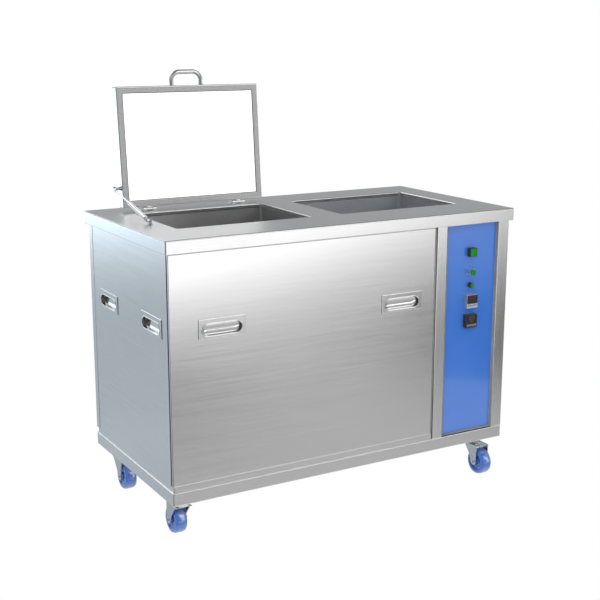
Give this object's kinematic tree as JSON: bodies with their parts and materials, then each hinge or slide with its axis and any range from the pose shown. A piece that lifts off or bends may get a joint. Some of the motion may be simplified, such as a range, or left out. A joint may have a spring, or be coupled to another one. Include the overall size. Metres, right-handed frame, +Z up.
{
  "type": "parts washer tank",
  "caption": "Stainless steel parts washer cabinet on swivel castors, with wash tanks let into the worktop, a hinged lid on a gas strut, lift-off covers and a blue control panel.",
  "frame": {"origin": "on the floor under the centre of the cabinet", "axes": "+X to the right seen from the front, the front with the controls faces -Y, +Z up; the lid is open at rest"},
  "size_m": [1.25, 0.65, 1.3727],
  "materials": {
    "stainless_top": "satin, fine linear grain",
    "stainless_tank": "satin, dulled inside",
    "stainless_frame": "satin",
    "stainless_cover": "satin, fine upright grain",
    "pressed_steel": "bright pressed",
    "stainless_lid": "satin",
    "white_liner": "smooth bright white",
    "polished_tube": "polished",
    "cast_aluminium": "turned",
    "silicone_pad": "matt",
    "zinc_fastener": "bright zinc",
    "zinc_pressing": "zinc plated pressing",
    "black_plastic": "fine texture",
    "blue_paint": "semi-gloss powder coat",
    "green_plastic": "gloss",
    "green_lens": "translucent, gloss",
    "chrome_bezel": "polished",
    "silver_plastic": "satin silver",
    "display_window": "smoked",
    "grey_keys": "soft touch",
    "grey_case": "powder coat",
    "brass_valve": "machined",
    "blue_grip": "vinyl dip",
    "strut_tube": "polished",
    "strut_rod": "hard chrome",
    "blue_wheel": "gloss moulded",
    "dark_axle": "blackened"
  },
  "bodies": {
    "cabinet": {"countertop": "stainless_top", "tank_left": "stainless_tank", "tank_right": "stainless_tank", "transducers": "cast_aluminium", "heater_pads": "silicone_pad", "base_frame": "stainless_frame", "lower_rail": "stainless_frame", "floor_plate": "stainless_frame", "frame_posts": "stainless_frame", "bay_stiles": "stainless_frame", "rear_panel": "stainless_cover", "right_panel": "stainless_cover", "panel_screws": "zinc_fastener", "cable_gland": "black_plastic", "control_panel": "blue_paint", "switch_housings": "black_plastic", "start_bezel": "chrome_bezel", "lamp_lens": "green_lens", "timer_body": "silver_plastic", "thermostat_body": "black_plastic", "controller_displays": "display_window", "controller_keys": "grey_keys", "generator_box": "grey_case", "fan_frame": "black_plastic", "drain_pipes": "stainless_tank", "drain_valves": "brass_valve", "hinge_bases": "polished_tube", "hinge_pins": "polished_tube", "strut_bracket": "zinc_fastener", "caster_plates": "zinc_pressing", "caster_kingpins": "zinc_fastener", "caster_bolts": "zinc_fastener"},
    "lid": {"lid_pan": "stainless_lid", "lid_liner": "white_liner", "lid_handle": "polished_tube", "hinge_leaves": "polished_tube", "strut_stud": "zinc_fastener"},
    "strut_tube": {"strut_cylinder": "strut_tube"},
    "strut_piston": {"strut_rod": "strut_rod"},
    "front_cover": {"front_panel": "stainless_cover", "front_pulls": "pressed_steel"},
    "left_cover": {"left_panel": "stainless_cover", "side_pulls": "pressed_steel"},
    "power_switch": {"power_button": "green_plastic"},
    "start_switch": {"start_button": "green_plastic"},
    "drain_handle_left": {"drain_lever_left": "blue_grip"},
    "drain_handle_right": {"drain_lever_right": "blue_grip"},
    "fan": {"fan_rotor": "black_plastic"},
    "caster_fork_front_left": {"fork_front_left": "zinc_pressing", "axle_front_left": "dark_axle"},
    "caster_wheel_front_left": {"wheel_front_left": "blue_wheel"},
    "caster_fork_front_right": {"fork_front_right": "zinc_pressing", "axle_front_right": "dark_axle"},
    "caster_wheel_front_right": {"wheel_front_right": "blue_wheel"},
    "caster_fork_rear_left": {"fork_rear_left": "zinc_pressing", "axle_rear_left": "dark_axle"},
    "caster_wheel_rear_left": {"wheel_rear_left": "blue_wheel"},
    "caster_fork_rear_right": {"fork_rear_right": "zinc_pressing", "axle_rear_right": "dark_axle"},
    "caster_wheel_rear_right": {"wheel_rear_right": "blue_wheel"}
  },
  "joints": [
    {"name": "lid_hinge", "type": "hinge", "parent": "cabinet", "child": "lid", "pos_m": [-0.277, 0.2215, 0.9345], "axis": [1, 0, 0], "range_deg": [0, 95.2]},
    {"name": "strut_pivot", "type": "hinge", "parent": "cabinet", "child": "strut_tube", "pos_m": [-0.553, -0.035, 0.941], "axis": [1, 0, 0], "range_deg": [-12.98, 0]},
    {"name": "strut_slide", "type": "slide", "parent": "strut_tube", "child": "strut_piston", "axis": [0, 0.9738, 0.2272], "range_m": [-0.09149, 0]},
    {"name": "front_cover_off", "type": "slide", "parent": "cabinet", "child": "front_cover", "axis": [0, -1, 0], "range_m": [0, 0.25]},
    {"name": "left_cover_off", "type": "slide", "parent": "cabinet", "child": "left_cover", "axis": [-1, 0, 0], "range_m": [0, 0.25]},
    {"name": "power_press", "type": "slide", "parent": "cabinet", "child": "power_switch", "axis": [0, 1, 0], "range_m": [0, 0.003]},
    {"name": "start_press", "type": "slide", "parent": "cabinet", "child": "start_switch", "axis": [0, 1, 0], "range_m": [0, 0.003]},
    {"name": "drain_turn_left", "type": "hinge", "parent": "cabinet", "child": "drain_handle_left", "pos_m": [-0.278, 0.281, 0.324], "axis": [0, 0, 1], "range_deg": [0, 90]},
    {"name": "drain_turn_right", "type": "hinge", "parent": "cabinet", "child": "drain_handle_right", "pos_m": [0.292, 0.281, 0.324], "axis": [0, 0, 1], "range_deg": [0, 90]},
    {"name": "fan_spin", "type": "hinge", "parent": "cabinet", "child": "fan", "pos_m": [0.6, -0.06, 0.33], "axis": [1, 0, 0], "continuous": true},
    {"name": "swivel_front_left", "type": "hinge", "parent": "cabinet", "child": "caster_fork_front_left", "pos_m": [-0.5555, -0.239, 0.11], "axis": [0, 0, 1], "continuous": true},
    {"name": "spin_front_left", "type": "hinge", "parent": "caster_fork_front_left", "child": "caster_wheel_front_left", "pos_m": [-0.5555, -0.1987, 0.044], "axis": [1, 0, 0], "continuous": true},
    {"name": "swivel_front_right", "type": "hinge", "parent": "cabinet", "child": "caster_fork_front_right", "pos_m": [0.5555, -0.239, 0.11], "axis": [0, 0, 1], "continuous": true},
    {"name": "spin_front_right", "type": "hinge", "parent": "caster_fork_front_right", "child": "caster_wheel_front_right", "pos_m": [0.5555, -0.2793, 0.044], "axis": [1, 0, 0], "continuous": true},
    {"name": "swivel_rear_left", "type": "hinge", "parent": "cabinet", "child": "caster_fork_rear_left", "pos_m": [-0.5555, 0.243, 0.11], "axis": [0, 0, 1], "continuous": true},
    {"name": "spin_rear_left", "type": "hinge", "parent": "caster_fork_rear_left", "child": "caster_wheel_rear_left", "pos_m": [-0.5555, 0.2027, 0.044], "axis": [1, 0, 0], "continuous": true},
    {"name": "swivel_rear_right", "type": "hinge", "parent": "cabinet", "child": "caster_fork_rear_right", "pos_m": [0.5555, 0.243, 0.11], "axis": [0, 0, 1], "continuous": true},
    {"name": "spin_rear_right", "type": "hinge", "parent": "caster_fork_rear_right", "child": "caster_wheel_rear_right", "pos_m": [0.5555, 0.2027, 0.044], "axis": [1, 0, 0], "continuous": true}
  ],
  "couplings": [
    {"joint": "strut_pivot", "follows": "lid_hinge", "ratio": -0.13587},
    {"joint": "strut_slide", "follows": "lid_hinge", "m_per_rad": -0.054882}
  ]
}
